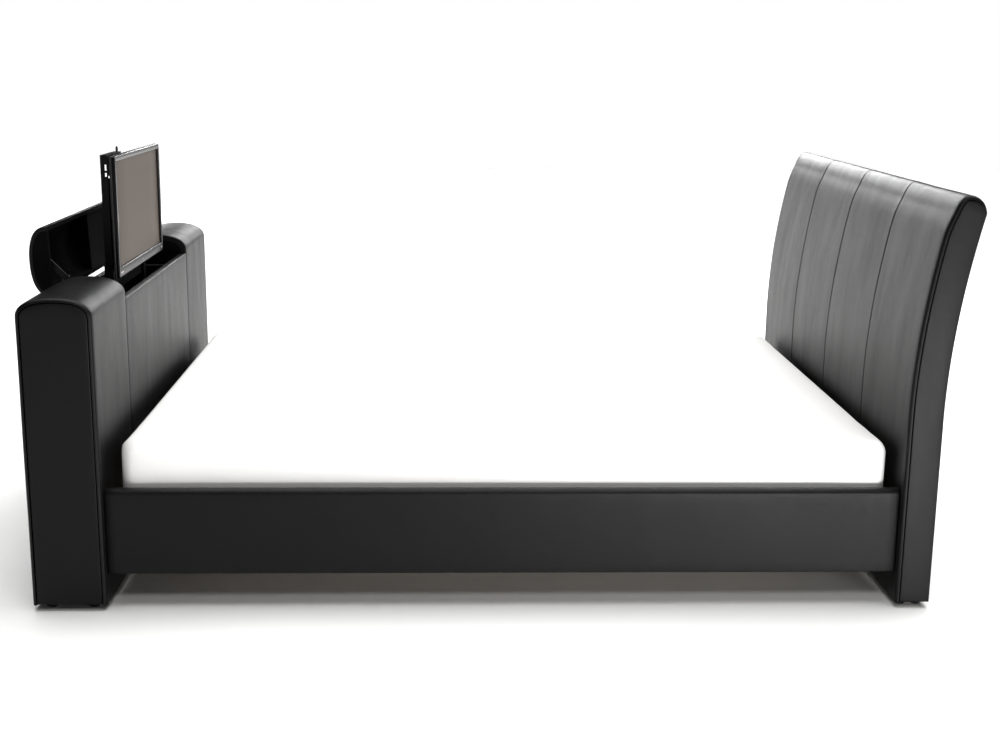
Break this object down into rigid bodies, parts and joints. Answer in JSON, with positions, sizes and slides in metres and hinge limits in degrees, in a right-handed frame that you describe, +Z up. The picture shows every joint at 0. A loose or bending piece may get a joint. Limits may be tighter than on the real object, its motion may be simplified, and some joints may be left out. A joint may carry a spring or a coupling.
{
  "type": "sleigh bed",
  "caption": "Upholstered sleigh bed with a backward-leaning headboard and a boxed footboard whose lid opens for a television on a lift.",
  "frame": {"origin": "the middle of the bed's box on the floor", "axes": "+X from the footboard to the headboard, +Y from the near side to the far side, +Z up"},
  "size_m": [2.428, 1.62, 1.109],
  "materials": {
    "upholstery": "satin, fine grain",
    "lined_board": "matte",
    "frame_timber": "planed",
    "slat_wood": "laminated, clear",
    "painted_steel": "satin powder coat",
    "zinc_steel": "zinc plated",
    "gloss_bezel": "gloss",
    "black_plastic": "fine texture",
    "screen": "anti-glare",
    "mattress_cover": "fitted cotton cover"
  },
  "bodies": {
    "bed_frame": {"centre_beam": "frame_timber", "centre_leg_1": "black_plastic", "centre_leg_2": "black_plastic", "control_box": "black_plastic", "drive_belt_cover": "black_plastic", "drive_motor": "zinc_steel", "footboard_base_board": "lined_board", "footboard_end_panel_far": "upholstery", "footboard_end_panel_near": "upholstery", "footboard_front_panel": "upholstery", "footboard_inner_board_far": "lined_board", "footboard_inner_board_near": "lined_board", "footboard_rear_panel": "upholstery", "footboard_shoulder_far": "upholstery", "footboard_shoulder_near": "upholstery", "glide_foot_far_1": "black_plastic", "glide_foot_far_2": "black_plastic", "glide_foot_near_1": "black_plastic", "glide_foot_near_2": "black_plastic", "glide_head_far_1": "black_plastic", "glide_head_far_2": "black_plastic", "glide_head_near_1": "black_plastic", "glide_head_near_2": "black_plastic", "headboard_back_panel": "lined_board", "headboard_frame": "frame_timber", "headboard_front_pad": "upholstery", "headboard_side_far": "upholstery", "headboard_side_near": "upholstery", "hinge_1_fixed_leaf": "zinc_steel", "hinge_2_fixed_leaf": "zinc_steel", "lift_channel_far": "painted_steel", "lift_channel_near": "painted_steel", "mattress": "mattress_cover", "rail_bracket_far_foot": "zinc_steel", "rail_bracket_far_head": "zinc_steel", "rail_bracket_near_foot": "zinc_steel", "rail_bracket_near_head": "zinc_steel", "side_rail_far": "upholstery", "side_rail_near": "upholstery", "slat_ledge_far": "frame_timber", "slat_ledge_near": "frame_timber", "slat_roll": "slat_wood", "well_cross_rail": "painted_steel"},
    "lid": {"hinge_1_lid_leaf": "zinc_steel", "hinge_2_lid_leaf": "zinc_steel", "lid_end_far": "lined_board", "lid_end_near": "lined_board", "lid_rib": "lined_board", "lid_shell": "upholstery"},
    "near_stay": {"lid_stay_near": "zinc_steel"},
    "far_stay": {"lid_stay_far": "zinc_steel"},
    "television_carriage": {"drive_nut": "black_plastic", "lift_frame": "painted_steel", "lift_head": "painted_steel", "tv_bezel": "gloss_bezel", "tv_bracket_plate": "painted_steel", "tv_case": "black_plastic", "tv_screen": "screen"},
    "middle_stage": {"lift_middle_stage": "painted_steel"},
    "spindle": {"lift_spindle": "zinc_steel"}
  },
  "joints": [
    {"name": "tv_lift", "type": "slide", "parent": "bed_frame", "child": "television_carriage", "axis": [0, 0, 1], "range_m": [-0.66, 0]},
    {"name": "middle_stage_lift", "type": "slide", "parent": "bed_frame", "child": "middle_stage", "axis": [0, 0, 1], "range_m": [-0.33, 0]},
    {"name": "spindle_turn", "type": "hinge", "parent": "bed_frame", "child": "spindle", "pos_m": [-1.09905, 0, 0.0483], "axis": [0, 0, 1], "range_deg": [-4760, 0]},
    {"name": "lid_hinge", "type": "hinge", "parent": "bed_frame", "child": "lid", "pos_m": [-1.15205, 0, 0.7445], "axis": [0, -1, 0], "range_deg": [-92, 0]},
    {"name": "near_stay_pivot", "type": "hinge", "parent": "lid", "child": "near_stay", "pos_m": [-1.16405, -0.4235, 0.835], "axis": [0, -1, 0], "range_deg": [0, 62]},
    {"name": "far_stay_pivot", "type": "hinge", "parent": "lid", "child": "far_stay", "pos_m": [-1.16405, 0.4235, 0.835], "axis": [0, -1, 0], "range_deg": [0, 62]}
  ],
  "couplings": [
    {"joint": "middle_stage_lift", "follows": "tv_lift", "ratio": 0.5},
    {"joint": "spindle_turn", "follows": "tv_lift", "rad_per_m": 125.66},
    {"joint": "lid_hinge", "follows": "tv_lift", "rad_per_m": 2.4328},
    {"joint": "near_stay_pivot", "follows": "tv_lift", "rad_per_m": -1.6395},
    {"joint": "far_stay_pivot", "follows": "tv_lift", "rad_per_m": -1.6395}
  ]
}
